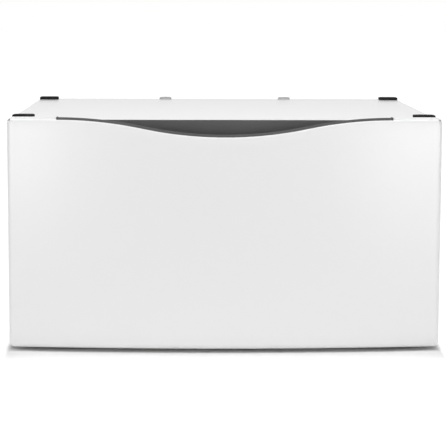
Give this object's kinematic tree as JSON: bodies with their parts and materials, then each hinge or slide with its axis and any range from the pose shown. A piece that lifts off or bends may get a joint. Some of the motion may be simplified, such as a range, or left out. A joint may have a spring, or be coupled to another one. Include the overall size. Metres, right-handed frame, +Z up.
{
  "type": "laundry pedestal drawer",
  "caption": "Low steel cabinet that a front-loading washer stands on, with a bowed full-width drawer, scooped finger-pull, ball-bearing slides, corner pads and levelling feet.",
  "frame": {"origin": "on the floor, in the middle of the closed pedestal's outline, with the feet screwed in", "axes": "+Z up; the drawer front faces -Y and opens towards -Y; +X is to the right of someone who faces the front"},
  "size_m": [0.686, 0.6684, 0.3728],
  "materials": {
    "white_enamel": "smooth satin powder coat",
    "white_interior": "matt powder coat",
    "galvanised_sheet": "galvanised, faint spangle",
    "slide_steel": "bright zinc, rolled",
    "bearing_steel": "polished",
    "zinc_hardware": "zinc plated",
    "charcoal_plastic": "fine matt grain",
    "black_rubber": "matt",
    "grey_plastic": "satin",
    "white_plastic": "satin",
    "black_plastic": "satin"
  },
  "bodies": {
    "cabinet": {"top_panel": "white_enamel", "left_side_panel": "white_enamel", "right_side_panel": "white_enamel", "rear_panel": "galvanised_sheet", "front_top_rail": "galvanised_sheet", "rear_top_rail": "galvanised_sheet", "front_bottom_rail": "galvanised_sheet", "rear_bottom_rail": "galvanised_sheet", "left_base_rail": "galvanised_sheet", "right_base_rail": "galvanised_sheet", "slide_bracket_left": "galvanised_sheet", "slide_bracket_right": "galvanised_sheet", "top_pad_front_left": "black_rubber", "top_pad_front_right": "black_rubber", "top_pad_rear_left": "black_rubber", "top_pad_rear_right": "black_rubber", "rear_plug_left": "grey_plastic", "rear_plug_right": "grey_plastic", "slide_outer_left": "slide_steel", "slide_outer_right": "slide_steel", "lock_nuts": "zinc_hardware", "weld_nuts": "zinc_hardware", "rear_panel_screws": "zinc_hardware", "slide_screws": "zinc_hardware", "drawer_bumpers": "black_rubber"},
    "drawer": {"drawer_front_panel": "white_enamel", "drawer_front_liner": "white_interior", "drawer_side_left": "white_interior", "drawer_side_right": "white_interior", "drawer_bottom": "white_interior", "drawer_back": "white_interior", "handle_insert": "charcoal_plastic", "divider_guide_front": "white_plastic", "divider_guide_rear": "white_plastic", "slide_inner_left": "slide_steel", "slide_inner_right": "slide_steel", "drawer_front_screws": "zinc_hardware", "drawer_slide_screws": "zinc_hardware"},
    "slide_middle_left": {"slide_middle_left": "slide_steel"},
    "outer_cage_left": {"outer_cage_left": "black_plastic", "outer_balls_left": "bearing_steel"},
    "inner_cage_left": {"inner_cage_left": "black_plastic", "inner_balls_left": "bearing_steel"},
    "release_lever_left": {"release_lever_left": "black_plastic"},
    "slide_middle_right": {"slide_middle_right": "slide_steel"},
    "outer_cage_right": {"outer_cage_right": "black_plastic", "outer_balls_right": "bearing_steel"},
    "inner_cage_right": {"inner_cage_right": "black_plastic", "inner_balls_right": "bearing_steel"},
    "release_lever_right": {"release_lever_right": "black_plastic"},
    "drawer_divider": {"drawer_divider": "white_plastic"},
    "foot_front_left": {"foot_sole_front_left": "black_rubber", "foot_stud_front_left": "zinc_hardware"},
    "foot_front_right": {"foot_sole_front_right": "black_rubber", "foot_stud_front_right": "zinc_hardware"},
    "foot_rear_left": {"foot_sole_rear_left": "black_rubber", "foot_stud_rear_left": "zinc_hardware"},
    "foot_rear_right": {"foot_sole_rear_right": "black_rubber", "foot_stud_rear_right": "zinc_hardware"}
  },
  "joints": [
    {"name": "drawer_slide", "type": "slide", "parent": "cabinet", "child": "drawer", "axis": [0, -1, 0], "range_m": [0, 0.45]},
    {"name": "slide_middle_left_slide", "type": "slide", "parent": "cabinet", "child": "slide_middle_left", "axis": [0, -1, 0], "range_m": [0, 0.2255]},
    {"name": "outer_cage_left_slide", "type": "slide", "parent": "cabinet", "child": "outer_cage_left", "axis": [0, -1, 0], "range_m": [0, 0.113]},
    {"name": "inner_cage_left_slide", "type": "slide", "parent": "cabinet", "child": "inner_cage_left", "axis": [0, -1, 0], "range_m": [0, 0.338]},
    {"name": "release_lever_left_tilt", "type": "hinge", "parent": "drawer", "child": "release_lever_left", "pos_m": [-0.3095, -0.0102, 0.157], "axis": [1, 0, 0], "range_deg": [0, 6], "stiffness_Nm_per_rad": 0.2, "springref_deg": -5.73},
    {"name": "slide_middle_right_slide", "type": "slide", "parent": "cabinet", "child": "slide_middle_right", "axis": [0, -1, 0], "range_m": [0, 0.2255]},
    {"name": "outer_cage_right_slide", "type": "slide", "parent": "cabinet", "child": "outer_cage_right", "axis": [0, -1, 0], "range_m": [0, 0.113]},
    {"name": "inner_cage_right_slide", "type": "slide", "parent": "cabinet", "child": "inner_cage_right", "axis": [0, -1, 0], "range_m": [0, 0.338]},
    {"name": "release_lever_right_tilt", "type": "hinge", "parent": "drawer", "child": "release_lever_right", "pos_m": [0.3095, -0.0102, 0.157], "axis": [1, 0, 0], "range_deg": [0, 6], "stiffness_Nm_per_rad": 0.2, "springref_deg": -5.73},
    {"name": "divider_lift", "type": "slide", "parent": "drawer", "child": "drawer_divider", "axis": [0, 0, 1], "range_m": [0, 0.12]},
    {"name": "foot_front_left_height", "type": "slide", "parent": "cabinet", "child": "foot_front_left", "axis": [0, 0, -1], "range_m": [0, 0.02]},
    {"name": "foot_front_right_height", "type": "slide", "parent": "cabinet", "child": "foot_front_right", "axis": [0, 0, -1], "range_m": [0, 0.02]},
    {"name": "foot_rear_left_height", "type": "slide", "parent": "cabinet", "child": "foot_rear_left", "axis": [0, 0, -1], "range_m": [0, 0.02]},
    {"name": "foot_rear_right_height", "type": "slide", "parent": "cabinet", "child": "foot_rear_right", "axis": [0, 0, -1], "range_m": [0, 0.02]}
  ],
  "couplings": [
    {"joint": "slide_middle_left_slide", "follows": "drawer_slide", "ratio": 0.5},
    {"joint": "outer_cage_left_slide", "follows": "drawer_slide", "ratio": 0.25},
    {"joint": "inner_cage_left_slide", "follows": "drawer_slide", "ratio": 0.75},
    {"joint": "slide_middle_right_slide", "follows": "drawer_slide", "ratio": 0.5},
    {"joint": "outer_cage_right_slide", "follows": "drawer_slide", "ratio": 0.25},
    {"joint": "inner_cage_right_slide", "follows": "drawer_slide", "ratio": 0.75}
  ]
}
